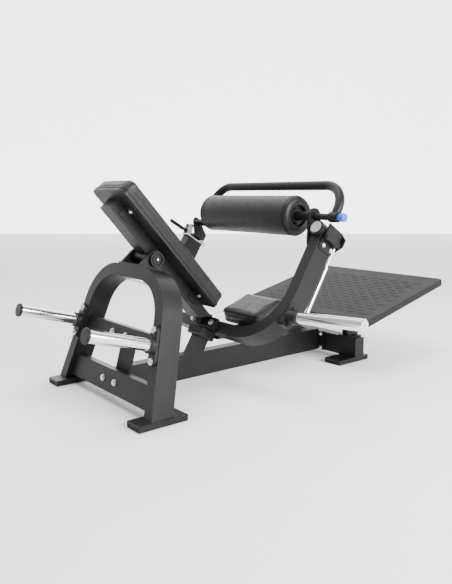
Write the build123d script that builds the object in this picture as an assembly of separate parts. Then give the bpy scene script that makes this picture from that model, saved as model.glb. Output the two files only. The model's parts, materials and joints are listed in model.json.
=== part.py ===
from build123d import *
from math import cos, radians, sin
import os

# Plate-loaded hip thrust machine. Millimetres. +X runs from the back pad to the foot platform,
# +Y to the far side, +Z up. The origin is on the floor, under the centre of the whole machine.

# Tube and plate stock
WALL = 3.0
TUBE_WIDTH = 55.0
TUBE_DEPTH = 100.0
PLATE = 10.0

# Fits and gaps
RUNNING = 0.05          # radial clearance of a shaft in its bush
GAP = 0.4               # gap between parts of two moving bodies
BOLT_GAP = 0.5          # radial clearance of a bolt in its hole

# Feet
PAD_RUBBER = 18.0
PAD_STEEL = 8.0
BASE_Z = PAD_RUBBER + PAD_STEEL

# Arch: one bent flat tube, leaning back
ARCH_X = -832.8         # where its front face meets the floor
ARCH_LEAN = 16.0
ARCH_TOP = 607.0        # height of its top along the lean
ARCH_BEND = 199.5       # bend radius on the tube's centreline
LEG_FOOT_Y = 385.6      # centre of a leg at the floor
LEG_SLOPE = 0.206       # how fast the legs close in with height
CROSSBAR_DEPTH = (23.0, 79.0)
LOWER_BAR = (52.0, 151.0)
UPPER_BAR = (270.0, 345.0)
UPRIGHT_HALF = 58.0
UPRIGHT_TAB_HALF = 78.0

# Main beam, rear crossmember and bumper
BEAM_HALF = 28.0
BEAM_TOP = 143.5
BEAM_END_X = 512.2
CROSS_X = (522.2, 592.2)
CROSS_TOP = 128.0
CROSS_HALF = 279.0

# Lever: pivot, back rail, yoke and seat
PIVOT_X = -584.8
PIVOT_Z = 607.0
RAIL_ANGLE = 49.0
RAIL_WIDTH = 90.0
RAIL_DEEP = 55.0
RAIL_UPPER = -287.0
RAIL_FOOT_Z = 314.0
PAD_ANGLE = 48.1         # the pad climbs a little less steeply than its rail
PAD_SPAN = (-56.0, 664.0)
PAD_HALF = 134.0
BOARD = 12.0
BACK_PAD_THICK = 60.0
YOKE_X = -284.8
YOKE_Z = 252.0
YOKE_LEAN = 31.7
YOKE_ARM_Y = 468.0
YOKE_BEND = 241.0
NEAR_ARM_TOP = 510.0
FAR_ARM_TOP = 480.0
SEAT_X = -57.8
SEAT_Z = 299.0
SEAT_ANGLE = 20.0
SEAT_LONG = 200.0
SEAT_HALF = 139.0
SEAT_THICK = 62.0

# Weight horns
HORN_R = 25.0
STORE_S = 310.0
STORE_REACH = 296.0
LOAD_T = 153.0
LOAD_N = 29.5
LOAD_TILT = 4.35
LOAD_REACH = 872.0

# Gate: barrel, shaft, roller and handle, in the yoke's own frame
BARREL_Y = -464.0
BARREL_T = 566.0
BARREL_R = 35.0
BARREL_N = (-15.0, 100.0)
GATE_SHAFT_R = 20.0
ROLLER_T = 619.0
ROLLER_N = -13.0
ROLLER_R = 92.0
ROLLER_Y = (-335.0, 318.0)
CORE_Y = (-317.0, 300.0)
ROLLER_SHAFT_R = 15.0
INDEX_Y = (-428.0, -418.0)
FAR_PLATE_Y = (320.0, 328.0)
OUTER_CHEEK_Y = (436.0, 446.0)
HANDLE_R = 21.2
HANDLE_NEAR_Y = -540.0
HANDLE_FAR_Y = 350.0
HANDLE_TOP_T = 779.0
HANDLE_BENDS = (125.0, 95.0)
HUB_R = 23.0
STRUT_N = 152.0
CRANK_R = 14.0
STRUT_Y = BARREL_Y + CRANK_R * cos(radians(45))

# Foot platform
PLATFORM_X = 378.2
PLATFORM_Z = 265.0
PLATFORM_ANGLE = 13.3
PLATFORM_LONG = 667.0
PLATFORM_HALF = 458.5
PLATFORM_STEEL = 8.0
PLATFORM_MAT = 25.0

BIG = 4000.0


def leaning_planes(x, z, lean):
    """Front plane (y, up the lean, depth) and side plane (depth, up the lean, -y) of a leaning frame."""
    depth = Vector(cos(radians(lean)), 0, -sin(radians(lean)))
    front = Plane(origin=(x, 0, z), x_dir=(0, 1, 0), z_dir=depth)
    side = Plane(origin=(x, 0, z), x_dir=depth, z_dir=(0, -1, 0))
    return front, side


def sloping_plane(x, z, angle):
    """Plane (along, y, above) whose first axis climbs at the angle."""
    along = Vector(cos(radians(angle)), 0, sin(radians(angle)))
    above = Vector(-sin(radians(angle)), 0, cos(radians(angle)))
    return Plane(origin=(x, 0, z), x_dir=along, z_dir=above)


ARCH, ARCH_SIDE = leaning_planes(ARCH_X, 0, ARCH_LEAN)
YOKE, YOKE_SIDE = leaning_planes(YOKE_X, YOKE_Z, YOKE_LEAN)
RAIL = sloping_plane(PIVOT_X, PIVOT_Z, -RAIL_ANGLE)
SEAT = sloping_plane(SEAT_X, SEAT_Z, SEAT_ANGLE)
PAD_START = RAIL.from_local_coords((RAIL_UPPER, 0, RAIL_DEEP))
PAD = sloping_plane(PAD_START.X, PAD_START.Z, -PAD_ANGLE)
PLATFORM = sloping_plane(PLATFORM_X, PLATFORM_Z, PLATFORM_ANGLE)
WORLD_SIDE = Plane.XZ
PIVOT_SIDE = Plane(origin=(PIVOT_X, 0, PIVOT_Z), x_dir=(1, 0, 0), z_dir=(0, -1, 0))


def block(plane, x, y, z):
    """Box between three pairs of local coordinates."""
    size = (x[1] - x[0], y[1] - y[0], z[1] - z[0])
    middle = ((x[0] + x[1]) / 2, (y[0] + y[1]) / 2, (z[0] + z[1]) / 2)
    return plane * (Pos(*middle) * Box(*size))


def disc(plane, x, y, z, radius):
    """Cylinder along the plane's normal, between two local heights."""
    return plane * (Pos(x, y, (z[0] + z[1]) / 2) * Cylinder(radius, z[1] - z[0]))


def side_plate(side_plane, outline, y):
    """Outline drawn in a side plane, made solid between two world y values."""
    return side_plane * (Pos(0, 0, -y[1]) * extrude(outline, y[1] - y[0]))


def side_disc(side_plane, x, up, y, radius):
    """Cylinder along world Y at a point of a side plane."""
    return disc(side_plane, x, up, (-y[1], -y[0]), radius)


def box_tube(plane, x, y, z, open_axis):
    """Rectangular tube, open at both ends along one local axis."""
    spans = [x, y, z]
    bore = [(low + WALL, high - WALL) for low, high in spans]
    low, high = spans[open_axis]
    bore[open_axis] = (low - 1, high + 1)
    return block(plane, *spans) - block(plane, *bore)


def bent_bar(plane, corners, bend, width, depth, near):
    """Solid rectangular bar along a filleted path in the plane; near is the depth it starts at."""
    path = plane * (Pos(0, 0, near + depth / 2) * FilletPolyline(*corners, radius=bend))
    section = Plane(origin=path @ 0, x_dir=plane.z_dir, z_dir=path % 0) * Rectangle(depth, width)
    return sweep(section, path=path)


def bent_tube(plane, corners, bend):
    """Flat tube stock bent along a path, open at both ends."""
    outside = bent_bar(plane, corners, bend, TUBE_WIDTH, TUBE_DEPTH, 0)
    bore = bent_bar(plane, corners, bend, TUBE_WIDTH - 2 * WALL, TUBE_DEPTH - 2 * WALL, WALL)
    return outside - bore


def above_floor_height(part, z):
    return part & Pos(0, 0, z + BIG / 2) * Box(BIG, BIG, BIG)


def hull(*shapes):
    """Face around several sketch shapes."""
    edges = [edge for shape in shapes for edge in shape.edges()]
    return make_hull(edges)


def spot(plane, x, y, z, outward):
    """Place of a bolt: its head stands on the outward side (+1 or -1 of the plane's normal)."""
    origin = plane.from_local_coords((x, y, z))
    return Plane(origin=origin, x_dir=plane.x_dir, z_dir=plane.z_dir * outward)


def bolt(place, size, length):
    """Washer, domed hexagon head and shank of one bolt."""
    washer = Pos(0, 0, 1.25) * Cylinder(size * 1.05, 2.5)
    head = Pos(0, 0, 2.5) * extrude(RegularPolygon(size * 0.92, 6), size * 0.62)
    dome = Pos(0, 0, 2.5 - size * 0.55) * Sphere(size * 1.22)
    shank = Pos(0, 0, -length / 2) * Cylinder(size / 2, length)
    return place * (washer + (head & dome) + shank)


def drill(part, places, size, length):
    """Clearance holes for a set of bolts."""
    for place in places:
        part = part - place * (Pos(0, 0, -length / 2) * Cylinder(size / 2 + BOLT_GAP, length + 1))
    return part


# Bolt places, shared by the bolts and by the parts that they pass through
FRAME_BOLT = 14.0
SMALL_BOLT = 10.0
BAR_BOLTS = [spot(ARCH, y, 101, CROSSBAR_DEPTH[0], -1) for y in (-50, 50)]
BAR_BOLTS += [spot(ARCH, y, 306, CROSSBAR_DEPTH[0], -1) for y in (-55, 55)]
BAR_BOLT_LONG = 64.0
PIVOT_BOLTS = [spot(Plane(origin=ARCH.origin, x_dir=ARCH.x_dir, z_dir=ARCH.y_dir), y, -50,
                    ARCH_TOP - TUBE_WIDTH, -1) for y in (-78, 78)]
PIVOT_BOLT_LONG = 60.0
FLANGE_BOLTS = [spot(Plane.YZ, y, z, CROSS_X[0] - PLATE, -1) for y in (-45, 45) for z in (38, 118)]
FLANGE_BOLT_LONG = 18.0
RAIL_BOLTS = [spot(YOKE, y, 36, -13, -1) for y in (-70, 70)]
RAIL_BOLT_LONG = 24.0
PAD_BOLTS = [spot(PAD, a, y, -5, -1) for a in (60, 580) for y in (-72, 72)]
PAD_BOLT_LONG = 14.0


def leg_centre(s):
    return LEG_FOOT_Y - LEG_SLOPE * s


def leg_inner(s):
    return leg_centre(s) - TUBE_WIDTH / 2 / cos(radians(LEG_TILT))


LEG_TILT = 11.64
STORE_Y = leg_centre(STORE_S)


def leg_plane(side):
    """Plane on the front of one leg: first axis along the leg, normal out of the front face."""
    along = ARCH.y_dir * cos(radians(LEG_TILT)) - ARCH.x_dir * side * sin(radians(LEG_TILT))
    origin = ARCH.from_local_coords((side * STORE_Y, STORE_S, 0))
    return Plane(origin=origin, x_dir=along, z_dir=ARCH.z_dir * -1)


STORE_BOLTS = [spot(leg_plane(side), x, 0, 12, 1) for side in (-1, 1) for x in (-62, 62)]
STORE_BOLT_LONG = 40.0


# Base ---------------------------------------------------------------------------------------

def arch_frame():
    top = ARCH_TOP - TUBE_WIDTH / 2
    corners = [(-leg_centre(0), 0), (-leg_centre(top), top), (leg_centre(top), top), (leg_centre(0), 0)]
    arch = above_floor_height(bent_tube(ARCH, corners, ARCH_BEND), BASE_Z)
    arch = drill(arch, PIVOT_BOLTS, FRAME_BOLT, PIVOT_BOLT_LONG)
    return drill(arch, STORE_BOLTS, FRAME_BOLT, STORE_BOLT_LONG)


def crossbar(span):
    low, high = span
    outline = Polygon((-leg_inner(low), low), (leg_inner(low), low), (leg_inner(high), high),
                      (-leg_inner(high), high), align=None)
    depth = CROSSBAR_DEPTH[1] - CROSSBAR_DEPTH[0]
    bar = ARCH * (Pos(0, 0, CROSSBAR_DEPTH[0]) * extrude(outline, depth))
    bore = block(ARCH, (-BIG, BIG), (low + WALL, high - WALL),
                 (CROSSBAR_DEPTH[0] + WALL, CROSSBAR_DEPTH[1] - WALL))
    return drill(bar - bore, BAR_BOLTS, FRAME_BOLT, BAR_BOLT_LONG)


def upright_plate():
    depth = (CROSSBAR_DEPTH[1], CROSSBAR_DEPTH[1] + 9)
    plate = block(ARCH, (-UPRIGHT_HALF, UPRIGHT_HALF), (LOWER_BAR[0], UPPER_BAR[1]), depth)
    for bar in (LOWER_BAR, UPPER_BAR):
        plate += block(ARCH, (-UPRIGHT_TAB_HALF, UPRIGHT_TAB_HALF), bar, depth)
    return drill(plate, BAR_BOLTS, FRAME_BOLT, BAR_BOLT_LONG)


def main_beam():
    beam = box_tube(Plane.XY, (ARCH_X, BEAM_END_X), (-BEAM_HALF, BEAM_HALF), (BASE_Z + 0.5, BEAM_TOP), 0)
    behind_plate = CROSSBAR_DEPTH[1] + 9
    return beam & block(ARCH, (-BIG, BIG), (-BIG, BIG), (behind_plate, behind_plate + BIG))


def beam_flange():
    plate = block(Plane.XY, (BEAM_END_X, CROSS_X[0]), (-66, 66), (BASE_Z, CROSS_TOP + 4))
    return drill(plate, FLANGE_BOLTS, FRAME_BOLT, FLANGE_BOLT_LONG)


def rear_crossmember():
    bar = box_tube(Plane.XY, CROSS_X, (-CROSS_HALF, CROSS_HALF), (BASE_Z, CROSS_TOP), 1)
    return drill(bar, FLANGE_BOLTS, FRAME_BOLT, FLANGE_BOLT_LONG)


def crossmember_caps():
    caps = []
    for side in (-1, 1):
        flange = sorted((side * CROSS_HALF, side * (CROSS_HALF + 4)))
        plug = sorted((side * (CROSS_HALF - 16), side * CROSS_HALF))
        inset = WALL + 0.2
        cap = block(Plane.XY, CROSS_X, flange, (BASE_Z, CROSS_TOP))
        cap += block(Plane.XY, (CROSS_X[0] + inset, CROSS_X[1] - inset), plug,
                     (BASE_Z + inset, CROSS_TOP - inset))
        caps.append(cap)
    return caps


ARCH_FOOT = ((-879.8, -656.8), (320.0, 411.0))
REAR_FOOT = ((408.2, 637.2), (174.0, 278.0))


def feet(z):
    """Four foot slabs between two heights."""
    slabs = []
    for x, y in (ARCH_FOOT, REAR_FOOT):
        slabs.append(block(Plane.XY, x, y, z))
        slabs.append(block(Plane.XY, x, (-y[1], -y[0]), z))
    return slabs


def foot_plates():
    return feet((PAD_RUBBER, BASE_Z))


def foot_pads():
    """Rubber pads with grooves across the underside."""
    pitch = 14.0
    pads = []
    for pad in feet((0, PAD_RUBBER)):
        box = pad.bounding_box()
        count = int((box.max.X - box.min.X) / pitch)
        for index in range(1, count):
            x = box.min.X + index * pitch
            pad = pad - Pos(x, (box.min.Y + box.max.Y) / 2, 0) * Box(5, BIG, 5)
        pads.append(pad)
    return pads


BUMPER_N = (-13.5, 51.5)
BUMPER_BLOCK = 30.0


def bumper_post():
    top = -BUMPER_BLOCK - PLATE
    post = box_tube(YOKE, (-BEAM_HALF, BEAM_HALF), (-250, top), BUMPER_N, 1)
    return above_floor_height(post, BEAM_TOP)


def bumper_plate():
    return block(YOKE, (-50, 50), (-BUMPER_BLOCK - PLATE, -BUMPER_BLOCK), (-30, 60))


def bumper_block():
    pad = block(YOKE, (-50, 50), (-BUMPER_BLOCK, -GAP), (-30, 60))
    return fillet(pad.edges().filter_by(Axis.Y), 4)


BRACKET_Y = (72.0, 83.0)
BRACKET_BASE = (ARCH_TOP, ARCH_TOP + 8)
PIVOT_D = (PIVOT_X - ARCH_X) * cos(radians(ARCH_LEAN)) - PIVOT_Z * sin(radians(ARCH_LEAN))
PIVOT_S = (PIVOT_X - ARCH_X) * sin(radians(ARCH_LEAN)) + PIVOT_Z * cos(radians(ARCH_LEAN))
BUSH_R = 22.0
PIVOT_SHAFT_R = 15.0


def pivot_bracket():
    """Base plate on the arch's top with two cheeks that hold the lever's pivot."""
    bracket = block(ARCH, (-100, 100), BRACKET_BASE, (2, 98))
    head = Pos(PIVOT_D, PIVOT_S) * Circle(38)
    foot = Pos(50, BRACKET_BASE[1] + 2) * Rectangle(94, 4)
    cheek = hull(head, foot)
    for side in (-1, 1):
        span = sorted((side * BRACKET_Y[0], side * BRACKET_Y[1]))
        bracket += side_plate(ARCH_SIDE, cheek, span)
        boss = sorted((side * BRACKET_Y[1], side * 97))
        bracket += side_disc(ARCH_SIDE, PIVOT_D, PIVOT_S, boss, 33.5)
        recess = sorted((side * 90, side * 98))
        bracket -= side_disc(ARCH_SIDE, PIVOT_D, PIVOT_S, recess, 26)
    bracket -= side_disc(ARCH_SIDE, PIVOT_D, PIVOT_S, (-110, 110), BUSH_R)
    return drill(bracket, PIVOT_BOLTS, FRAME_BOLT, PIVOT_BOLT_LONG)


def pivot_bushings():
    bushings = []
    for side in (-1, 1):
        span = sorted((side * BRACKET_Y[0], side * 90))
        ring = side_disc(PIVOT_SIDE, 0, 0, span, BUSH_R)
        bushings.append(ring - side_disc(PIVOT_SIDE, 0, 0, (-110, 110), PIVOT_SHAFT_R + RUNNING))
    return bushings


def storage_horn_bases():
    """Flange and collar that carry a storage horn."""
    bases = []
    for side in (-1, 1):
        plane = leg_plane(side)
        flange = plane * extrude(SlotOverall(164, 48), 12)
        base = drill(flange, STORE_BOLTS, FRAME_BOLT, STORE_BOLT_LONG)
        base += disc(plane, 0, 0, (12, 35), 33)
        bases.append(base)
    return bases


def storage_horns():
    return [disc(leg_plane(side), 0, 0, (35, STORE_REACH), HORN_R)
            - disc(leg_plane(side), 0, 0, (34, STORE_REACH + 1), HORN_R - WALL) for side in (-1, 1)]


def storage_horn_caps():
    caps = []
    for side in (-1, 1):
        plane = leg_plane(side)
        cap = fillet(disc(plane, 0, 0, (STORE_REACH, STORE_REACH + 12), 30).edges(), 3)
        caps.append(cap + disc(plane, 0, 0, (STORE_REACH - 20, STORE_REACH), HORN_R - WALL - 0.2))
    return caps


def frame_bolts():
    bolts = [bolt(place, FRAME_BOLT, BAR_BOLT_LONG) for place in BAR_BOLTS]
    bolts += [bolt(place, FRAME_BOLT, PIVOT_BOLT_LONG) for place in PIVOT_BOLTS]
    bolts += [bolt(place, FRAME_BOLT, FLANGE_BOLT_LONG) for place in FLANGE_BOLTS]
    bolts += [bolt(place, FRAME_BOLT, STORE_BOLT_LONG) for place in STORE_BOLTS]
    return bolts


# Foot platform ------------------------------------------------------------------------------

def platform_slab(height, margin):
    size = (PLATFORM_LONG / cos(radians(PLATFORM_ANGLE)) - 2 * margin, 2 * (PLATFORM_HALF - margin))
    middle = PLATFORM_LONG / 2 / cos(radians(PLATFORM_ANGLE))
    outline = RectangleRounded(*size, 30 - margin)
    return PLATFORM * (Pos(middle, 0, height[0]) * extrude(outline, height[1] - height[0]))


def platform_mat():
    mat = platform_slab((-PLATFORM_MAT, 0), 0)
    top = mat.faces().sort_by(Axis((0, 0, 0), PLATFORM.z_dir))[-1]
    return fillet(top.edges(), 5)


def platform_plate():
    return platform_slab((-PLATFORM_MAT - PLATFORM_STEEL, -PLATFORM_MAT), 3)


RAIL_Y = 215.0
RAIL_TUBE = 40.0


def platform_rails():
    """Two square tubes under the platform."""
    top = -PLATFORM_MAT - PLATFORM_STEEL
    return [box_tube(PLATFORM, (30, 640), (side * RAIL_Y - RAIL_TUBE / 2, side * RAIL_Y + RAIL_TUBE / 2),
                     (top - RAIL_TUBE, top), 0) for side in (-1, 1)]


def platform_brackets():
    """Pairs of cheeks on a base plate that carry the rails on the crossmember."""
    under = block(PLATFORM, (-BIG, BIG), (-BIG, BIG), (-BIG, -PLATFORM_MAT - PLATFORM_STEEL - RAIL_TUBE))
    brackets = []
    for side in (-1, 1):
        base = block(Plane.XY, (CROSS_X[0] - 6, CROSS_X[1] + 6),
                     (side * RAIL_Y - 45, side * RAIL_Y + 45), (CROSS_TOP, CROSS_TOP + 8))
        outline = Polygon((CROSS_X[0] - 2, CROSS_TOP + 8), (CROSS_X[1] + 2, CROSS_TOP + 8),
                          (CROSS_X[1] + 230, 400), (CROSS_X[0] - 60, 400), align=None)
        bracket = base
        for y in (-20, 12):
            cheek = side_plate(WORLD_SIDE, outline, (side * RAIL_Y + y, side * RAIL_Y + y + 8))
            bracket += cheek & under
        brackets.append(bracket)
    return brackets


# Lever --------------------------------------------------------------------------------------

SLEEVE_R = 26.0
FLANGE_N = -13.0


def back_rail():
    half = RAIL_WIDTH / 2
    rail = box_tube(RAIL, (RAIL_UPPER, 480), (-half, half), (0, RAIL_DEEP), 0)
    rail = above_floor_height(rail, RAIL_FOOT_Z)
    rail -= block(YOKE, (-BIG, BIG), (-BIG, BIG), (FLANGE_N, BIG))
    return rail - side_disc(PIVOT_SIDE, 0, 0, (-half - 1, half + 1), SLEEVE_R)


def back_rail_cap():
    half = RAIL_WIDTH / 2
    inset = WALL + 0.2
    cap = block(RAIL, (RAIL_UPPER - 4, RAIL_UPPER), (-half, half), (0, RAIL_DEEP - 0.5))
    cap += block(RAIL, (RAIL_UPPER, RAIL_UPPER + 14), (-half + inset, half - inset),
                 (inset, RAIL_DEEP - inset))
    return cap


def pivot_sleeve():
    width = BRACKET_Y[0] - 1
    sleeve = side_disc(PIVOT_SIDE, 0, 0, (-width, width), SLEEVE_R)
    return sleeve - side_disc(PIVOT_SIDE, 0, 0, (-width - 1, width + 1), PIVOT_SHAFT_R)


def pivot_shaft():
    return side_disc(PIVOT_SIDE, 0, 0, (-91, 91), PIVOT_SHAFT_R)


def pivot_end_bolts():
    """Washer and bolt head on each end of the pivot shaft."""
    ends = []
    for side in (-1, 1):
        face = Plane(origin=(PIVOT_X, side * 91, PIVOT_Z), x_dir=(1, 0, 0), z_dir=(0, side, 0))
        end = disc(face, 0, 0, (0, 4), 20) + face * (Pos(0, 0, 4) * extrude(RegularPolygon(8, 6), 5))
        ends.append(end)
    return ends


def rail_flange():
    """Plate on the yoke's front with a gusset up to the rail's foot."""
    flange = block(YOKE, (-104, 104), (6, 62), (FLANGE_N, 0))
    flange += block(YOKE, (-44, 44), (62, 74), (FLANGE_N, 0))
    flange = drill(flange, RAIL_BOLTS, FRAME_BOLT, RAIL_BOLT_LONG)
    wedge = Polygon((PIVOT_X + 262, RAIL_FOOT_Z), (PIVOT_X + 340, RAIL_FOOT_Z), (PIVOT_X + 300, 262),
                    align=None)
    front = block(YOKE, (-BIG, BIG), (-BIG, BIG), (-BIG, FLANGE_N))
    return flange + (side_plate(WORLD_SIDE, wedge, (-6, 6)) & front)


def yoke_path():
    low = TUBE_WIDTH / 2
    return [(-YOKE_ARM_Y, NEAR_ARM_TOP), (-YOKE_ARM_Y, low), (YOKE_ARM_Y, low), (YOKE_ARM_Y, FAR_ARM_TOP)]


def yoke():
    tube = bent_tube(YOKE, yoke_path(), YOKE_BEND)
    tube += block(YOKE, (STRUT_Y - 18, STRUT_Y - 12), (170, 200), (TUBE_DEPTH, STRUT_N + 12))
    tube = drill(tube, TRAY_BOLTS, SMALL_BOLT, TRAY_BOLT_LONG)
    return drill(tube, RAIL_BOLTS, FRAME_BOLT, RAIL_BOLT_LONG)


def rounded_slab(plane, x, half, z, corner):
    slab = block(plane, x, (-half, half), z)
    return fillet(slab.edges().filter_by(Axis((0, 0, 0), plane.z_dir)), corner)


def crowned(slab, plane, edge):
    """Slab with its upper edge rounded."""
    upper = slab.faces().sort_by(Axis((0, 0, 0), plane.z_dir))[-1]
    return fillet(upper.edges(), edge)


PAD_CORNER = 34.0


def back_board():
    board = rounded_slab(PAD, PAD_SPAN, PAD_HALF, (0, BOARD), PAD_CORNER)
    return drill(board, PAD_BOLTS, SMALL_BOLT, PAD_BOLT_LONG)


def back_pad():
    pad = rounded_slab(PAD, PAD_SPAN, PAD_HALF, (BOARD, BOARD + BACK_PAD_THICK), PAD_CORNER)
    return crowned(pad, PAD, 12)


def pad_brackets():
    """Four angles welded to the rail's sides, under the board."""
    brackets = []
    for place in PAD_BOLTS:
        x, y, _ = PAD.to_local_coords(place.origin)
        side = 1 if y > 0 else -1
        reach = sorted((side * RAIL_WIDTH / 2, side * 95))
        web = sorted((side * RAIL_WIDTH / 2, side * (RAIL_WIDTH / 2 + 5)))
        angle = block(PAD, (x - 25, x + 25), reach, (-5, 0))
        angle += block(PAD, (x - 25, x + 25), web, (-42, -5))
        brackets.append(drill(angle, [place], SMALL_BOLT, PAD_BOLT_LONG))
    return brackets


def lever_bolts():
    bolts = [bolt(place, FRAME_BOLT, RAIL_BOLT_LONG) for place in RAIL_BOLTS]
    bolts += [bolt(place, SMALL_BOLT, PAD_BOLT_LONG) for place in PAD_BOLTS]
    bolts += [bolt(place, SMALL_BOLT, TRAY_BOLT_LONG) for place in TRAY_BOLTS]
    return bolts


SUPPORT_Z = (188.0, 230.0)
SUPPORT_END_X = 84.0


def seat_support():
    """Tube from the yoke's rear face with two cheeks and a plate under the seat board."""
    tube = box_tube(Plane.XY, (YOKE_X, SUPPORT_END_X), (-30, 30), SUPPORT_Z, 0)
    tube = tube & block(YOKE, (-BIG, BIG), (-BIG, BIG), (TUBE_DEPTH, BIG))
    below = -SEAT_THICK - BOARD
    plate = block(SEAT, (20, 180), (-60, 60), (below - 5, below))
    outline = Polygon((-44, SUPPORT_Z[1]), (SUPPORT_END_X, SUPPORT_Z[1]), (SUPPORT_END_X + 44, 330),
                      (-44, 330), align=None)
    limit = block(SEAT, (20, 180), (-BIG, BIG), (-BIG, below - 5))
    for y in (-30, 22):
        plate += side_plate(WORLD_SIDE, outline, (y, y + 8)) & limit
    return tube + plate


def seat_board():
    below = -SEAT_THICK - BOARD
    return rounded_slab(SEAT, (4, SEAT_LONG - 4), SEAT_HALF - 4, (below, -SEAT_THICK), 20)


def seat_pad():
    pad = rounded_slab(SEAT, (0, SEAT_LONG), SEAT_HALF, (-SEAT_THICK, 0), 24)
    return crowned(pad, SEAT, 12)


def belt_ring():
    """Round ring on an angled tab at the near side of the seat."""
    below = -SEAT_THICK - BOARD
    along = (98, 122)
    tab = block(SEAT, along, (-SEAT_HALF - 6, -SEAT_HALF + 30), (below - 4, below))
    tab += block(SEAT, along, (-SEAT_HALF - 6, -SEAT_HALF - 2), (below - 4, -38))
    centre = SEAT * Plane(origin=(110, -SEAT_HALF - 20, -38), z_dir=(1, 0, 0))
    return tab + centre * Torus(16, 3)


def horn_plane(side):
    """Plane across a load horn at the yoke arm, its normal pointing out along the horn."""
    tilt = radians(LOAD_TILT)
    outward = YOKE.x_dir * side * cos(tilt) + YOKE.y_dir * sin(tilt)
    origin = YOKE.from_local_coords((side * YOKE_ARM_Y, LOAD_T, LOAD_N))
    return Plane(origin=origin, x_dir=YOKE.z_dir, z_dir=outward)


HORN_START = 540.0 - YOKE_ARM_Y
HORN_LONG = (LOAD_REACH - YOKE_ARM_Y) / cos(radians(LOAD_TILT))


def load_horn_hubs():
    """Welded block, flange and collar on the outside of each yoke arm."""
    solid_yoke = bent_bar(YOKE, yoke_path(), YOKE_BEND, TUBE_WIDTH, TUBE_DEPTH, 0)
    hubs = []
    for side in (-1, 1):
        plane = horn_plane(side)
        hub = plane * (Pos(0, 0, -30) * extrude(RectangleRounded(56, 96, 14), 54))
        hub -= solid_yoke
        hub -= block(YOKE, sorted((0, side * (YOKE_ARM_Y - 8))), (0, 300), (-200, 200))
        hub += disc(plane, 0, 0, (24, HORN_START), 33)
        for up in (-38, 38):
            hub += disc(plane, 0, up, (24, 30), 7)
        hubs.append(max(hub.solids(), key=lambda solid: solid.volume))
    return hubs


def load_horns():
    horns = []
    for side in (-1, 1):
        plane = horn_plane(side)
        horn = disc(plane, 0, 0, (HORN_START, HORN_LONG - 8), HORN_R)
        horns.append(horn - disc(plane, 0, 0, (HORN_START - 1, HORN_LONG), HORN_R - WALL))
    return horns


def load_horn_caps():
    """Stepped end cap with a small centre hole."""
    caps = []
    for side in (-1, 1):
        plane = horn_plane(side)
        cap = disc(plane, 0, 0, (HORN_LONG - 8, HORN_LONG), HORN_R)
        cap = chamfer(cap.faces().sort_by(Axis((0, 0, 0), plane.z_dir))[-1].edges(), 3)
        cap += disc(plane, 0, 0, (HORN_LONG - 26, HORN_LONG - 8), HORN_R - WALL - 0.2)
        cap -= disc(plane, 0, 0, (HORN_LONG - 4, HORN_LONG + 1), 5)
        caps.append(cap)
    return caps


# Gate hinge, tray and latch on the yoke -------------------------------------------------------

def gate_barrel():
    saddle = block(YOKE, (BARREL_Y - 27, BARREL_Y + 27), (NEAR_ARM_TOP, BARREL_T), (2, 98))
    barrel = saddle + disc(YOKE, BARREL_Y, BARREL_T, BARREL_N, BARREL_R)
    return barrel - disc(YOKE, BARREL_Y, BARREL_T, (-20, 105), GATE_SHAFT_R + RUNNING)


TRAY_N = (11.0, 113.0)
TRAY_Y = (-526.0, -496.0)
TRAY_T = 527.0
TRAY_WALL = 4.0
TRAY_LIP_T = 549.0
TRAY_RIM_T = 603.0
TRAY_TAB_N = (11.0, 99.0)
TRAY_BOLTS = [spot(YOKE_SIDE, n, 506, -TRAY_Y[1] + TRAY_WALL, 1) for n in (34, 88)]
TRAY_BOLT_LONG = 5.5


def tray_bracket():
    """Bent plate: a tab bolted to the arm's outside, then a channel open at the top."""
    outer, inner = TRAY_Y
    wall_y = inner - 8
    tray = block(YOKE, (inner - TRAY_WALL, inner), (483, TRAY_T + TRAY_WALL), TRAY_TAB_N)
    tray += block(YOKE, (outer, inner), (TRAY_T, TRAY_T + TRAY_WALL), TRAY_N)
    tray += block(YOKE, (outer, outer + TRAY_WALL), (TRAY_T, TRAY_LIP_T), TRAY_N)
    tray += block(YOKE, (wall_y - TRAY_WALL, wall_y), (TRAY_T, TRAY_RIM_T), TRAY_N)
    web = Polygon((wall_y, 508), (wall_y, TRAY_RIM_T), (outer - 12, TRAY_RIM_T - 28),
                  (outer - 12, TRAY_T + 12), align=None)
    tray += YOKE * (Pos(0, 0, TRAY_N[1] - TRAY_WALL) * extrude(web, TRAY_WALL))
    return drill(tray, TRAY_BOLTS, SMALL_BOLT, TRAY_BOLT_LONG)


def tray_liner():
    """Rubber lining of the channel."""
    low = TRAY_T + TRAY_WALL
    outer = TRAY_Y[0] + TRAY_WALL
    inner = TRAY_Y[1] - 8 - TRAY_WALL
    thick = 4.0
    along = (TRAY_N[0], TRAY_N[1] - TRAY_WALL)
    liner = block(YOKE, (outer, inner), (low, low + thick), along)
    return liner + block(YOKE, (inner - thick, inner), (low, TRAY_RIM_T - 2), along)


LATCH_T = 502.0
LATCH_PIN_R = 4.0


def latch_plate():
    """Plate on the far arm's end with two lugs for the latch and a rear stop block."""
    plate = block(YOKE, (440, 496), (FAR_ARM_TOP, FAR_ARM_TOP + 5), (-15, 128))
    lug = hull(Pos(-9, 534) * Circle(12), Pos(0, LATCH_T) * Circle(12),
               Pos(-4, FAR_ARM_TOP + 6) * Rectangle(20, 2))
    for y in ((447, 454), (482, 489)):
        plate += side_plate(YOKE_SIDE, lug, y)
    plate += block(YOKE, (450, 486), (FAR_ARM_TOP + 5, 499), (104, 120))
    return plate - side_disc(YOKE_SIDE, 0, LATCH_T, (440, 495), LATCH_PIN_R + RUNNING)


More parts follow.
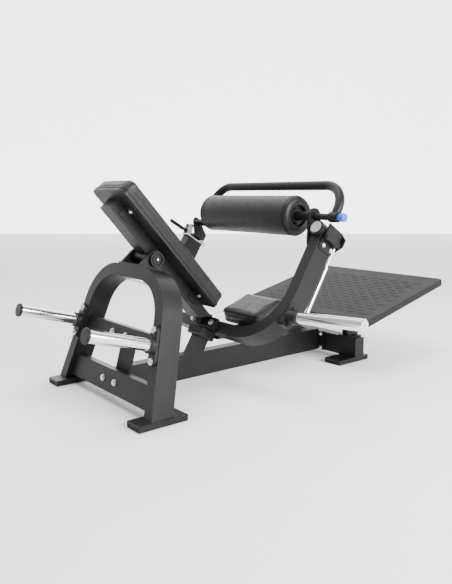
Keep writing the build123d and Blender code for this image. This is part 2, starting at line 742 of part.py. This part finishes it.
def strut_cylinder():
    """Gas strut's cylinder, its lower eye bolted to the tab on the yoke."""
    plane = Plane(origin=YOKE.from_local_coords((STRUT_Y, 0, STRUT_N)), x_dir=(0, 1, 0), z_dir=YOKE.y_dir)
    tube = disc(plane, 0, 0, (205, 452), 10) - disc(plane, 0, 0, (250, 453), STRUT_ROD_R + RUNNING)
    eye = side_disc(YOKE_SIDE, STRUT_N, 185, (STRUT_Y - 11.5, STRUT_Y + 6), 10)
    neck = disc(plane, 0, 0, (185, 206), 5)
    return tube + eye + neck


STRUT_ROD_R = 4.5


# Gate ---------------------------------------------------------------------------------------

GATE_ARM_N = (101.0, 111.0)
FOOT_T = (500.0, 512.0)


def gate_shaft():
    """Hinge shaft in the barrel, with the strut's crank on its rear end."""
    shaft = disc(YOKE, BARREL_Y, BARREL_T, (BARREL_N[0] - 1, 140), GATE_SHAFT_R)
    pin_y = CRANK_R * cos(radians(45))
    crank = hull(Circle(16), Pos(pin_y, -pin_y) * Circle(9))
    shaft += YOKE * (Pos(BARREL_Y, BARREL_T, 132) * extrude(crank, 9))
    return shaft


def gate_cap():
    cap = disc(YOKE, BARREL_Y, BARREL_T, (BARREL_N[0] - 6, BARREL_N[0] - 1), 27)
    return chamfer(cap.faces().sort_by(Axis((0, 0, 0), YOKE.z_dir))[0].edges(), 1.5)


def gate_arm():
    """Plate behind the barrel, from the hinge shaft to the index plate."""
    round_end = Pos(BARREL_Y, BARREL_T) * Circle(32)
    edge = Pos((INDEX_Y[0] + INDEX_Y[1]) / 2, BARREL_T + 8) * Rectangle(INDEX_Y[1] - INDEX_Y[0], 80)
    arm = YOKE * (Pos(0, 0, GATE_ARM_N[0]) * extrude(hull(round_end, edge), GATE_ARM_N[1] - GATE_ARM_N[0]))
    return arm - disc(YOKE, BARREL_Y, BARREL_T, (90, 120), GATE_SHAFT_R)


def index_plate():
    """Lobed plate that carries the roller shaft beside the near arm."""
    upper = Pos(ROLLER_N, ROLLER_T) * Circle(38)
    lower = Pos(33, 512) * Circle(24)
    plate = side_plate(YOKE_SIDE, hull(upper, lower), INDEX_Y)
    plate += side_plate(YOKE_SIDE, Pos(56, BARREL_T + 8) * Rectangle(90, 76), INDEX_Y)
    return plate - side_disc(YOKE_SIDE, ROLLER_N, ROLLER_T, (-450, -400), ROLLER_SHAFT_R)


def roller_shaft():
    """Shaft through the roller, with a collar against each end of it."""
    shaft = side_disc(YOKE_SIDE, ROLLER_N, ROLLER_T, (-560, 374), ROLLER_SHAFT_R)
    shaft += side_disc(YOKE_SIDE, ROLLER_N, ROLLER_T, (INDEX_Y[1], CORE_Y[0] - 1), 21)
    shaft += side_disc(YOKE_SIDE, ROLLER_N, ROLLER_T, (CORE_Y[1] + 1, FAR_PLATE_Y[0]), 21)
    return shaft - side_disc(YOKE_SIDE, ROLLER_N, ROLLER_T, (-561, -520), KNOB_PIN_R + RUNNING)


def far_end_plate():
    """Plate on the roller shaft's far end, a bar out to the far arm, and a cheek with the striker."""
    bar_n, bar_t = (-15, 35), (560, 576)
    shaft_end = Pos(ROLLER_N, ROLLER_T) * Circle(27)
    bar_end = Pos(10, 568) * Rectangle(50, 16)
    heel = Pos(66, 518) * Rectangle(68, 36)
    plate = side_plate(YOKE_SIDE, hull(shaft_end, bar_end), FAR_PLATE_Y)
    plate -= side_disc(YOKE_SIDE, ROLLER_N, ROLLER_T, (300, 340), ROLLER_SHAFT_R)
    plate += block(YOKE, (FAR_PLATE_Y[0], OUTER_CHEEK_Y[1]), bar_t, bar_n)
    nose = Pos(-3, 576) * Circle(15)
    plate += side_plate(YOKE_SIDE, hull(nose, bar_end, heel), OUTER_CHEEK_Y)
    plate += side_disc(YOKE_SIDE, -3, 576, (OUTER_CHEEK_Y[0] - 10, OUTER_CHEEK_Y[1] + 14), 6)
    plate += block(YOKE, (OUTER_CHEEK_Y[0], 486), FOOT_T, (32, 100))
    plate += block(YOKE, (452, 484), (FAR_ARM_TOP + 5 + GAP, FOOT_T[0]), (36, 84))
    return plate


# Roller, handle, knob, latch lever and strut rod ------------------------------------------------

def roller_pad():
    """Round pad with a recess in each end."""
    near, far = ROLLER_Y
    pad = side_disc(YOKE_SIDE, ROLLER_N, ROLLER_T, ROLLER_Y, ROLLER_R)
    pad = fillet(pad.edges().filter_by(GeomType.CIRCLE), 24)
    for recess in ((near - 1, near + 24), (far - 24, far + 1)):
        pad -= side_disc(YOKE_SIDE, ROLLER_N, ROLLER_T, recess, 48)
    return pad - side_disc(YOKE_SIDE, ROLLER_N, ROLLER_T, (-BIG, BIG), 34)


def roller_core():
    """Tube in the roller with a hub and bearing seat at each end."""
    core = side_disc(YOKE_SIDE, ROLLER_N, ROLLER_T, CORE_Y, 34)
    core -= side_disc(YOKE_SIDE, ROLLER_N, ROLLER_T, (CORE_Y[0] + 30, CORE_Y[1] - 30), 29)
    return core - side_disc(YOKE_SIDE, ROLLER_N, ROLLER_T, (-BIG, BIG), ROLLER_SHAFT_R + RUNNING)


def handle_hubs():
    """Rings that carry the handle on the roller shaft."""
    hubs = []
    for y in ((HANDLE_NEAR_Y - 21, HANDLE_NEAR_Y + 21), (HANDLE_FAR_Y - 21, HANDLE_FAR_Y + 22)):
        hub = side_disc(YOKE_SIDE, ROLLER_N, ROLLER_T, y, HUB_R)
        hubs.append(hub - side_disc(YOKE_SIDE, ROLLER_N, ROLLER_T, y, ROLLER_SHAFT_R + RUNNING))
    return hubs


def handle_loop():
    corners = [(HANDLE_NEAR_Y, ROLLER_T), (HANDLE_NEAR_Y, HANDLE_TOP_T),
               (HANDLE_FAR_Y, HANDLE_TOP_T), (HANDLE_FAR_Y, ROLLER_T)]
    path = YOKE * (Pos(0, 0, ROLLER_N) * FilletPolyline(*corners, radius=HANDLE_BENDS))
    section = Plane(origin=path @ 0, z_dir=path % 0) * Circle(HANDLE_R)
    loop = sweep(section, path=path)
    bore = sweep(Plane(origin=path @ 0, z_dir=path % 0) * Circle(HANDLE_R - WALL), path=path)
    loop = loop - bore
    for y in ((HANDLE_NEAR_Y - 35, HANDLE_NEAR_Y + 35), (HANDLE_FAR_Y - 30, HANDLE_FAR_Y + 30)):
        loop -= side_disc(YOKE_SIDE, ROLLER_N, ROLLER_T, y, HUB_R)
    return max(loop.solids(), key=lambda solid: solid.volume)


KNOB_PIN_R = 5.0


def pull_knob():
    """Round knob on a pin that slides in the roller shaft's end."""
    knob = side_disc(YOKE_SIDE, ROLLER_N, ROLLER_T, (-602, -572), 19)
    knob = fillet(knob.edges().filter_by(GeomType.CIRCLE), 7)
    knob += side_disc(YOKE_SIDE, ROLLER_N, ROLLER_T, (-573, -562), 12)
    return knob + side_disc(YOKE_SIDE, ROLLER_N, ROLLER_T, (-563, -525), KNOB_PIN_R)


def latch_lever():
    """Latch with its pin, a tongue towards the gate's foot and a grip towards the user."""
    lever = side_disc(YOKE_SIDE, 0, LATCH_T, (455, 481), 12)
    lever += side_disc(YOKE_SIDE, 0, LATCH_T, (446.6, 490), LATCH_PIN_R)
    lever += block(YOKE, (458, 478), (LATCH_T - 6, LATCH_T + 6), (8, 22))
    lever += block(YOKE, (461, 475), (LATCH_T - 7, LATCH_T + 7), (-38, -8))
    grip = disc(YOKE, 468, LATCH_T - 2, (-132, -36), 10)
    return lever + fillet(grip.edges().filter_by(GeomType.CIRCLE), 4)


def strut_rod():
    """Gas strut's rod with its upper end fitting."""
    plane = Plane(origin=YOKE.from_local_coords((STRUT_Y, 0, STRUT_N)), x_dir=(0, 1, 0), z_dir=YOKE.y_dir)
    pin_t = BARREL_T - CRANK_R * sin(radians(45))
    rod = disc(plane, 0, 0, (300, pin_t - 6), STRUT_ROD_R)
    return rod + disc(YOKE, STRUT_Y, pin_t, (STRUT_N - 10, STRUT_N + 6), 8)


NODES = {
    "arch_frame": arch_frame,
    "lower_crossbar": lambda: crossbar(LOWER_BAR),
    "upper_crossbar": lambda: crossbar(UPPER_BAR),
    "upright_plate": upright_plate,
    "main_beam": main_beam,
    "beam_flange": beam_flange,
    "rear_crossmember": rear_crossmember,
    "crossmember_caps": crossmember_caps,
    "foot_plates": foot_plates,
    "foot_pads": foot_pads,
    "bumper_post": bumper_post,
    "bumper_plate": bumper_plate,
    "bumper_block": bumper_block,
    "pivot_bracket": pivot_bracket,
    "pivot_bushings": pivot_bushings,
    "storage_horn_bases": storage_horn_bases,
    "storage_horns": storage_horns,
    "storage_horn_caps": storage_horn_caps,
    "frame_bolts": frame_bolts,
    "platform_mat": platform_mat,
    "platform_plate": platform_plate,
    "platform_rails": platform_rails,
    "platform_brackets": platform_brackets,
    "back_rail": back_rail,
    "back_rail_cap": back_rail_cap,
    "pivot_sleeve": pivot_sleeve,
    "pivot_shaft": pivot_shaft,
    "pivot_end_bolts": pivot_end_bolts,
    "rail_flange": rail_flange,
    "yoke": yoke,
    "back_board": back_board,
    "back_pad": back_pad,
    "pad_brackets": pad_brackets,
    "lever_bolts": lever_bolts,
    "seat_support": seat_support,
    "seat_board": seat_board,
    "seat_pad": seat_pad,
    "belt_ring": belt_ring,
    "load_horn_hubs": load_horn_hubs,
    "load_horns": load_horns,
    "load_horn_caps": load_horn_caps,
    "gate_barrel": gate_barrel,
    "tray_bracket": tray_bracket,
    "tray_liner": tray_liner,
    "latch_plate": latch_plate,
    "strut_cylinder": strut_cylinder,
    "gate_shaft": gate_shaft,
    "gate_cap": gate_cap,
    "gate_arm": gate_arm,
    "index_plate": index_plate,
    "roller_shaft": roller_shaft,
    "far_end_plate": far_end_plate,
    "roller_pad": roller_pad,
    "roller_core": roller_core,
    "handle_loop": handle_loop,
    "handle_hubs": handle_hubs,
    "pull_knob": pull_knob,
    "latch_lever": latch_lever,
    "strut_rod": strut_rod,
}


def write_parts():
    os.makedirs("parts", exist_ok=True)
    for name, make in NODES.items():
        shape = make()
        if isinstance(shape, list):
            shape = Compound(children=shape)
        export_step(shape, f"parts/{name}.step")


write_parts()
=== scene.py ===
import json
import math

import bmesh
import bpy
from mathutils import Matrix, Vector


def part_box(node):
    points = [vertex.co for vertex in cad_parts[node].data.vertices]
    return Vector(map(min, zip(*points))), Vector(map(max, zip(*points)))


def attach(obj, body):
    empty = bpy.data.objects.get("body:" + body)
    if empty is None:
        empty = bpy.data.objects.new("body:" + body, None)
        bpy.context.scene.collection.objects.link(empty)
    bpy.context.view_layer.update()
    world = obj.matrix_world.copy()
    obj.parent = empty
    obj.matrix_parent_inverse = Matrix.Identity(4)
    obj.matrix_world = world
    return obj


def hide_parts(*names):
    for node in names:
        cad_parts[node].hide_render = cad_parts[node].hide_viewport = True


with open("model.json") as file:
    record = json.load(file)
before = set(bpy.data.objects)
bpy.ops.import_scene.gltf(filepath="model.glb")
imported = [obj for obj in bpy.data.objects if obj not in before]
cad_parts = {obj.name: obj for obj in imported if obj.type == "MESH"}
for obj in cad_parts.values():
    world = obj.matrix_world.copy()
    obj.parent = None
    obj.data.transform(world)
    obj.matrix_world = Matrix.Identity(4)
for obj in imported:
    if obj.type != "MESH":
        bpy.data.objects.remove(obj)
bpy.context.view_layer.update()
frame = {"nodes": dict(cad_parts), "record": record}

# Lengths are in metres and angles in degrees.
UP = Vector((0, 0, 1))

# The back pad, the seat and the foot platform are flat and tilted about Y.
PAD_TILT = 48.1
SEAT_TILT = -20.0
PLATFORM_TILT = -13.3

# How far into its range of 0 to 1 a noise texture starts and stops varying.
NOISE_LOW, NOISE_HIGH = 0.3, 0.7

# Upholstery: the skin starts smaller than the CAD solid by its inset, is remeshed to VOXEL, and is blown
# up by the cloth simulation, by its swell at most.
VOXEL = 0.005
PRESSURE = 4.0
CLOTH_FRAMES = 20

# The flat pads are held up to BOARD_EDGE above their boards, and have welts round their corners.
PAD_INSET = (0.002, 0.002, 0.0012)
PAD_SWELL = 0.003
BOARD_EDGE = 0.012
WELT_R = 0.0021
PAD_CORNER = 0.034
SEAT_CORNER = 0.024

# The roller's cover is held inside TUCK_R, and sewn a little in from each end.
ROLLER_INSET = (0.0005, 0.001, 0.0005)
ROLLER_SWELL = 0.002
TUCK_R = 0.052
SEAM_INSET = 0.027
THREAD_R = 0.0011

# Anti-slip ribs of the foot platform: their length, width and height, their spacing along the slope and
# across it, the plain margin round them, and how far they are sunk into the mat.
RIB = (0.05, 0.007, 0.0016)
RIB_PITCH_X = 0.034
RIB_PITCH_Y = 0.074
RIB_MARGIN = 0.09
RIB_SUNK = 0.0002

SCREW_R = 0.0062

CAMERA_PLACE = (-1.9908, -2.2902, 0.88)
CAMERA_LOOK = (0.6227, 0.7665, -0.1573)
CAMERA_LENS = 37.59


def tilted(angle):
    """Rotation about +Y: its first column climbs at minus the angle."""
    return Matrix.Rotation(math.radians(angle), 3, "Y")


# Materials ------------------------------------------------------------------------------------

def new_material(name):
    material = bpy.data.materials.new(name)
    material.use_nodes = True
    nodes = material.node_tree.nodes
    return material, nodes, material.node_tree.links, nodes["Principled BSDF"]


def noise(nodes, links, scale, detail=3.0, stretch=(1, 1, 1)):
    """Noise texture in object space, with its coordinates stretched along the axes."""
    place = nodes.new("ShaderNodeTexCoord")
    mapping = nodes.new("ShaderNodeMapping")
    mapping.inputs["Scale"].default_value = stretch
    texture = nodes.new("ShaderNodeTexNoise")
    texture.inputs["Scale"].default_value = scale
    texture.inputs["Detail"].default_value = detail
    links.new(place.outputs["Object"], mapping.inputs["Vector"])
    links.new(mapping.outputs["Vector"], texture.inputs["Vector"])
    return texture


def remap(nodes, links, source, low, high):
    """The middle of the source's range becomes low to high."""
    scaled = nodes.new("ShaderNodeMapRange")
    scaled.inputs["From Min"].default_value = NOISE_LOW
    scaled.inputs["From Max"].default_value = NOISE_HIGH
    scaled.inputs["To Min"].default_value = low
    scaled.inputs["To Max"].default_value = high
    links.new(source, scaled.inputs["Value"])
    return scaled.outputs["Result"]


def two_tone(nodes, links, factor, dark, light, target):
    """The factor fades the target colour from dark to light."""
    ramp = nodes.new("ShaderNodeValToRGB")
    ramp.color_ramp.elements[0].position = NOISE_LOW
    ramp.color_ramp.elements[1].position = NOISE_HIGH
    ramp.color_ramp.elements[0].color = (*dark, 1)
    ramp.color_ramp.elements[1].color = (*light, 1)
    links.new(factor, ramp.inputs["Fac"])
    links.new(ramp.outputs["Color"], target)


def add_bump(nodes, links, shader, height, strength, distance):
    bump = nodes.new("ShaderNodeBump")
    bump.inputs["Strength"].default_value = strength
    bump.inputs["Distance"].default_value = distance
    links.new(height, bump.inputs["Height"])
    links.new(bump.outputs["Normal"], shader.inputs["Normal"])


def coated(name, dark, light, rough, grain, depth, metallic=0.0, specular=0.25, stretch=(1, 1, 1)):
    """Surface with slow colour variation, uneven roughness and a fine grain."""
    material, nodes, links, shader = new_material(name)
    cloud = noise(nodes, links, scale=9.0)
    two_tone(nodes, links, cloud.outputs["Fac"], dark, light, shader.inputs["Base Color"])
    fine = noise(nodes, links, grain, detail=4.0, stretch=stretch)
    gloss = remap(nodes, links, fine.outputs["Fac"], *rough)
    links.new(gloss, shader.inputs["Roughness"])
    add_bump(nodes, links, shader, fine.outputs["Fac"], strength=0.35, distance=depth)
    shader.inputs["Metallic"].default_value = metallic
    shader.inputs["Specular IOR Level"].default_value = specular
    return material


def leather_cells(nodes, links, scale):
    """Rounded cells of a leather grain, highest in their middles."""
    place = nodes.new("ShaderNodeTexCoord")
    cells = nodes.new("ShaderNodeTexVoronoi")
    cells.feature = "DISTANCE_TO_EDGE"
    cells.inputs["Scale"].default_value = scale
    links.new(place.outputs["Object"], cells.inputs["Vector"])
    return cells


def vinyl(name, dark, light):
    """Leather-grained vinyl: cells of a fine grain over slow creases."""
    crease_share = 1.6
    material, nodes, links, shader = new_material(name)
    cloud = noise(nodes, links, scale=6.0)
    two_tone(nodes, links, cloud.outputs["Fac"], dark, light, shader.inputs["Base Color"])
    cells = leather_cells(nodes, links, scale=420.0)
    crease = noise(nodes, links, scale=26.0, detail=5.0)
    height = nodes.new("ShaderNodeMath")
    height.operation = "MULTIPLY_ADD"
    links.new(crease.outputs["Fac"], height.inputs[0])
    height.inputs[1].default_value = crease_share
    links.new(cells.outputs["Distance"], height.inputs[2])
    add_bump(nodes, links, shader, height.outputs["Value"], strength=0.22, distance=0.0012)
    gloss = remap(nodes, links, crease.outputs["Fac"], low=0.38, high=0.5)
    links.new(gloss, shader.inputs["Roughness"])
    shader.inputs["Specular IOR Level"].default_value = 0.25
    return material


def make_materials():
    """One finish for each slot. The bright turned parts have their grain drawn out along X."""
    turned = (1, 14, 14)
    return {
        "frame_coat": coated("powder_coat", (0.006, 0.006, 0.0063), (0.009, 0.009, 0.0094), (0.4, 0.5),
                             grain=900, depth=0.0003, specular=0.22),
        "black_rubber": coated("rubber", (0.006, 0.006, 0.0065), (0.01, 0.01, 0.0105), (0.62, 0.8),
                               grain=260, depth=0.0006),
        "black_plastic": coated("moulded_plastic", (0.004, 0.004, 0.0043), (0.006, 0.006, 0.0063),
                                (0.42, 0.54), grain=500, depth=0.0002),
        "blue_plastic": coated("blue_plastic", (0.025, 0.1, 0.46), (0.04, 0.14, 0.56), (0.22, 0.32),
                               grain=200, depth=0.0001, specular=0.4),
        "vinyl": vinyl("pad_vinyl", (0.005, 0.005, 0.0053), (0.008, 0.008, 0.0084)),
        "chrome": coated("chrome", (0.78, 0.79, 0.81), (0.86, 0.87, 0.89), (0.1, 0.2),
                         grain=120, depth=0.00005, metallic=1.0, stretch=turned),
        "steel": coated("machined_steel", (0.42, 0.43, 0.45), (0.56, 0.57, 0.59), (0.24, 0.4),
                        grain=180, depth=0.0001, metallic=1.0, stretch=turned),
        "zinc": coated("zinc_plate", (0.62, 0.63, 0.64), (0.74, 0.75, 0.76), (0.2, 0.34),
                       grain=300, depth=0.0001, metallic=1.0),
        "cap_metal": coated("tumbled_cap", (0.2, 0.2, 0.2), (0.4, 0.4, 0.4), (0.45, 0.65),
                            grain=420, depth=0.0004),
    }


MATERIALS = make_materials()

# Nodes whose finish is not the one of their slot: the boards are wrapped in the pads' vinyl, and the
# feet and the fittings round the roller are blacker than the frame.
OWN_FINISH = {
    "back_board": "vinyl",
    "seat_board": "vinyl",
    "foot_plates": "black_plastic",
    "tray_bracket": "black_plastic",
    "roller_shaft": "black_plastic",
    "roller_core": "black_plastic",
    "far_end_plate": "black_plastic",
    "handle_loop": "black_plastic",
}


def dress_nodes():
    for row in frame["record"]["subparts"]:
        node = row["node"]
        mesh = frame["nodes"][node].data
        mesh.materials.clear()
        mesh.materials.append(MATERIALS[OWN_FINISH.get(node, row["material_slot"])])


# Mesh helpers -----------------------------------------------------------------------------------

def add_piece(obj, slot, body):
    """Gives a new piece its finish and the body that it rides on."""
    if obj.name not in bpy.context.scene.collection.objects:
        bpy.context.scene.collection.objects.link(obj)
    obj.data.materials.clear()
    obj.data.materials.append(MATERIALS[slot])
    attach(obj, body)


def shade_smooth(mesh):
    for polygon in mesh.polygons:
        polygon.use_smooth = True


def mesh_from(bm, name):
    """The finished mesh of a bmesh, which is freed."""
    mesh = bpy.data.meshes.new(name)
    bm.to_mesh(mesh)
    bm.free()
    return mesh


def evaluated_mesh(obj):
    """Mesh of an object as its modifiers or its bevel leave it."""
    graph = bpy.context.evaluated_depsgraph_get()
    return bpy.data.meshes.new_from_object(obj.evaluated_get(graph))


def apply_modifiers(obj):
    """The object's evaluated mesh takes the place of its own."""
    mesh = evaluated_mesh(obj)
    obj.modifiers.clear()
    obj.data = mesh


def local_box(mesh, turn):
    """Lowest and highest corner of a mesh in turned axes."""
    inverse = turn.transposed()
    points = [inverse @ vertex.co for vertex in mesh.vertices]
    low = Vector([min(p[i] for p in points) for i in range(3)])
    high = Vector([max(p[i] for p in points) for i in range(3)])
    return low, high


def shrunk_copy(node, name, turn, inset):
    """Copy of a CAD solid, smaller by the inset on each side of its turned axes."""
    mesh = frame["nodes"][node].data.copy()
    obj = bpy.data.objects.new(name, mesh)
    bpy.context.scene.collection.objects.link(obj)
    low, high = local_box(mesh, turn)
    centre = (low + high) / 2
    inverse = turn.transposed()
    for vertex in mesh.vertices:
        local = inverse @ vertex.co
        for axis in range(3):
            half = (high[axis] - low[axis]) / 2
            local[axis] = centre[axis] + (local[axis] - centre[axis]) * (half - inset[axis]) / half
        vertex.co = turn @ local
    return obj


def voxelised(obj):
    remesh = obj.modifiers.new("remesh", "REMESH")
    remesh.mode = "VOXEL"
    remesh.voxel_size = VOXEL
    apply_modifiers(obj)


def inflate(obj, pinned, cap):
    """Blows the skin up like a stuffed cover, by the cap at most, except where pinned(point) is true."""
    rest = [vertex.co.copy() for vertex in obj.data.vertices]
    held = obj.vertex_groups.new(name="held")
    held.add([i for i, point in enumerate(rest) if pinned(point)], 1.0, "REPLACE")
    cloth = obj.modifiers.new("cloth", "CLOTH")
    cloth.settings.use_pressure = True
    cloth.settings.uniform_pressure_force = PRESSURE
    cloth.settings.vertex_group_mass = "held"
    cloth.settings.effector_weights.gravity = 0
    cloth.point_cache.frame_start = 1
    cloth.point_cache.frame_end = CLOTH_FRAMES
    scene = bpy.context.scene
    for number in range(1, CLOTH_FRAMES + 1):
        scene.frame_set(number)
    apply_modifiers(obj)
    scene.frame_set(1)
    for vertex, start in zip(obj.data.vertices, rest):
        moved = vertex.co - start
        if moved.length > cap:
            vertex.co = start + moved * (cap / moved.length)


def subdivided(obj):
    smooth = obj.modifiers.new("smooth", "SMOOTH")
    smooth.factor = 0.5
    smooth.iterations = 4
    level = obj.modifiers.new("level", "SUBSURF")
    level.levels = 1
    apply_modifiers(obj)
    shade_smooth(obj.data)


def soft_piece(node, name, body, turn, inset, pinned, cap):
    """The upholstered piece that stands for one soft CAD solid."""
    obj = shrunk_copy(node, name, turn, inset)
    voxelised(obj)
    inflate(obj, pinned, cap)
    subdivided(obj)
    add_piece(obj, "vinyl", body)
    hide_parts(node)


def closed_tube(points, name, radius, body):
    """Round vinyl welt or thread along a closed line of points, as a mesh."""
    curve = bpy.data.curves.new(name, "CURVE")
    curve.dimensions = "3D"
    curve.bevel_depth = radius
    curve.bevel_resolution = 3
    spline = curve.splines.new("POLY")
    spline.points.add(len(points) - 1)
    for target, point in zip(spline.points, points):
        target.co = (*point, 1)
    spline.use_cyclic_u = True
    helper = bpy.data.objects.new(name + "_path", curve)
    bpy.context.scene.collection.objects.link(helper)
    mesh = evaluated_mesh(helper)
    bpy.data.objects.remove(helper)
    shade_smooth(mesh)
    add_piece(bpy.data.objects.new(name, mesh), "vinyl", body)


def rounded_outline(low, high, corner, height, turn):
    """Rounded rectangle in turned axes at one height."""
    steps = 10
    points = []
    centres = [(high.x - corner, high.y - corner, 0), (low.x + corner, high.y - corner, 90),
               (low.x + corner, low.y + corner, 180), (high.x - corner, low.y + corner, 270)]
    for x, y, start in centres:
        for step in range(steps + 1):
            angle = math.radians(start + 90 * step / steps)
            local = Vector((x + corner * math.cos(angle), y + corner * math.sin(angle), height))
            points.append(turn @ local)
    return points


# Upholstery ---------------------------------------------------------------------------------------

def flat_pad(node, name, angle, corner, seams):
    """Stuffed pad, flat where its board holds it, with a welt at each share of its thickness."""
    turn = tilted(angle)
    low, high = local_box(frame["nodes"][node].data, turn)
    inverse = turn.transposed()

    def on_board(point):
        return (inverse @ point).z < low.z + BOARD_EDGE

    soft_piece(node, name, "lever", turn, PAD_INSET, on_board, PAD_SWELL)
    for index, share in enumerate(seams):
        height = low.z + (high.z - low.z) * share
        outline = rounded_outline(low, high, corner, height, turn)
        closed_tube(outline, f"{name}_welt_{index + 1}", WELT_R, "lever")


def roller():
    """Round pad: its cover is held where it tucks into the recess at each end."""
    low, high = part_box("roller_pad")
    axis_x, axis_z = (low.x + high.x) / 2, (low.z + high.z) / 2

    def tucked_in(point):
        return math.hypot(point.x - axis_x, point.z - axis_z) < TUCK_R

    soft_piece("roller_pad", "roller_cushion", "roller", Matrix.Identity(3), ROLLER_INSET, tucked_in,
               ROLLER_SWELL)


def roller_seams():
    """Ring of stitching near each end of the roller."""
    low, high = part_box("roller_pad")
    centre = (low + high) / 2
    proud, points = 0.0002, 96
    radius = (high.x - low.x) / 2 + proud
    for index, y in enumerate((low.y + SEAM_INSET, high.y - SEAM_INSET)):
        ring = []
        for k in range(points):
            angle = math.tau * k / points
            x = centre.x + radius * math.cos(angle)
            z = centre.z + radius * math.sin(angle)
            ring.append(Vector((x, y, z)))
        closed_tube(ring, f"roller_seam_{index + 1}", THREAD_R, "roller")


# Foot platform -------------------------------------------------------------------------------------

def add_rib(bm, centre, along, across, up):
    """Adds one low rib to a mesh, with a bevel that starts at 0.6 of its height."""
    length, width, height = RIB
    bevel = height * 0.6
    rings = []
    for level, inset in ((0, 0), (bevel, 0), (height, bevel)):
        ring = []
        for a, b in ((-1, -1), (1, -1), (1, 1), (-1, 1)):
            corner = along * a * (length / 2 - inset) + across * b * (width / 2 - inset)
            ring.append(bm.verts.new(centre + corner + up * level))
        rings.append(ring)
    for lower, upper in zip(rings, rings[1:]):
        for k in range(4):
            bm.faces.new((lower[k], lower[(k + 1) % 4], upper[(k + 1) % 4], upper[k]))
    bm.faces.new(rings[-1])


def platform_grip():
    """Plain anti-slip ribs over the middle of the mat, in staggered rows."""
    turn = tilted(PLATFORM_TILT)
    low, high = local_box(frame["nodes"]["platform_mat"].data, turn)
    slope, side, up = turn.col
    bm = bmesh.new()
    rows = int((high.x - low.x - 2 * RIB_MARGIN) / RIB_PITCH_X)
    columns = int((high.y - low.y - 2 * RIB_MARGIN) / RIB_PITCH_Y)
    for row in range(rows + 1):
        for column in range(columns + 1):
            x = low.x + RIB_MARGIN + row * RIB_PITCH_X
            y = low.y + RIB_MARGIN + (column + 0.5 * (row % 2)) * RIB_PITCH_Y
            if y <= high.y - RIB_MARGIN:
                centre = turn @ Vector((x, y, high.z - RIB_SUNK))
                add_rib(bm, centre, side, slope, up)
    mesh = mesh_from(bm, "platform_grip")
    add_piece(bpy.data.objects.new("platform_grip", mesh), "black_rubber", "base")


def pivot_screws():
    """Small bright domed screw in the middle of each end of the lever's pivot."""
    low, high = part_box("pivot_end_bolts")
    flattened = (1, 0.45, 1)
    for name, y in (("pivot_screw_near", low.y), ("pivot_screw_far", high.y)):
        bm = bmesh.new()
        bmesh.ops.create_uvsphere(bm, u_segments=24, v_segments=12, radius=SCREW_R)
        bmesh.ops.scale(bm, vec=flattened, verts=bm.verts)
        place = Vector(((low.x + high.x) / 2, y, (low.z + high.z) / 2))
        bmesh.ops.translate(bm, vec=place, verts=bm.verts)
        mesh = mesh_from(bm, name)
        shade_smooth(mesh)
        add_piece(bpy.data.objects.new(name, mesh), "zinc", "lever")


# Stage ----------------------------------------------------------------------------------------------

def stage_paint(name, scale, dark, light):
    """Pale grey with a faint cloud in it."""
    material, nodes, links, shader = new_material(name)
    cloud = noise(nodes, links, scale)
    two_tone(nodes, links, cloud.outputs["Fac"], [dark] * 3, [light] * 3, shader.inputs["Base Color"])
    return material, shader


def stage_plane(name, material, size, place):
    bpy.ops.mesh.primitive_plane_add(size=size, location=place)
    plane = bpy.context.object
    plane.name = name
    plane.data.materials.append(material)
    return plane


def floor():
    """Pale floor, 1 mm under the feet."""
    material, shader = stage_paint("studio_floor", scale=2.0, dark=0.86, light=0.88)
    shader.inputs["Roughness"].default_value = 0.9
    plane = stage_plane("floor", material, size=60, place=(0, 0, -0.001))


def backdrop():
    """Bright plain screen far behind the object, square to the camera."""
    material, shader = stage_paint("studio_screen", scale=0.3, dark=0.9, light=0.92)
    shader.inputs["Emission Color"].default_value = (1, 1, 1, 1)
    shader.inputs["Emission Strength"].default_value = 3.2
    screen = stage_plane("backdrop", material, size=1, place=(6.9, 8.5, 5.0))
    screen.scale = (44, 24, 1)
    screen.rotation_euler = (math.radians(90), 0, math.radians(-39))


def area_light(name, place, target, size, power):
    """Soft rectangular lamp, turned to its target."""
    data = bpy.data.lights.new(name, "AREA")
    data.shape = "RECTANGLE"
    data.size, data.size_y = size
    data.energy = power
    lamp = bpy.data.objects.new(name, data)
    lamp.location = place
    lamp.rotation_euler = (Vector(target) - Vector(place)).to_track_quat("-Z", "Y").to_euler()
    bpy.context.scene.collection.objects.link(lamp)


def lights():
    """White surroundings, a key light from the camera's right and a weak light overhead."""
    world = bpy.data.worlds.new("studio")
    world.use_nodes = True
    surroundings = world.node_tree.nodes["Background"]
    surroundings.inputs["Color"].default_value = (1, 1, 1, 1)
    surroundings.inputs["Strength"].default_value = 0.75
    bpy.context.scene.world = world
    area_light("key", place=(0.6, -4.6, 2.2), target=(0, 0, 0.4), size=(3.4, 2.0), power=620)
    area_light("top", place=(-0.6, 0.2, 4.0), target=(0, 0, 0.3), size=(2.6, 2.6), power=160)


def camera():
    """The calibrated view: 0.88 m above the floor, looking nine degrees down."""
    data = bpy.data.cameras.new("camera")
    data.sensor_width = 36
    data.lens = CAMERA_LENS
    cam = bpy.data.objects.new("camera", data)
    forward = Vector(CAMERA_LOOK).normalized()
    right = forward.cross(UP).normalized()
    above = right.cross(forward)
    turn = Matrix((right, above, -forward)).transposed().to_4x4()
    cam.matrix_world = Matrix.Translation(CAMERA_PLACE) @ turn
    bpy.context.scene.collection.objects.link(cam)
    bpy.context.scene.camera = cam


dress_nodes()
flat_pad("back_pad", "back_cushion", PAD_TILT, PAD_CORNER, seams=(0.03,))
flat_pad("seat_pad", "seat_cushion", SEAT_TILT, SEAT_CORNER, seams=(0.03, 0.74))
roller()
roller_seams()
platform_grip()
pivot_screws()
floor()
backdrop()
lights()
camera()
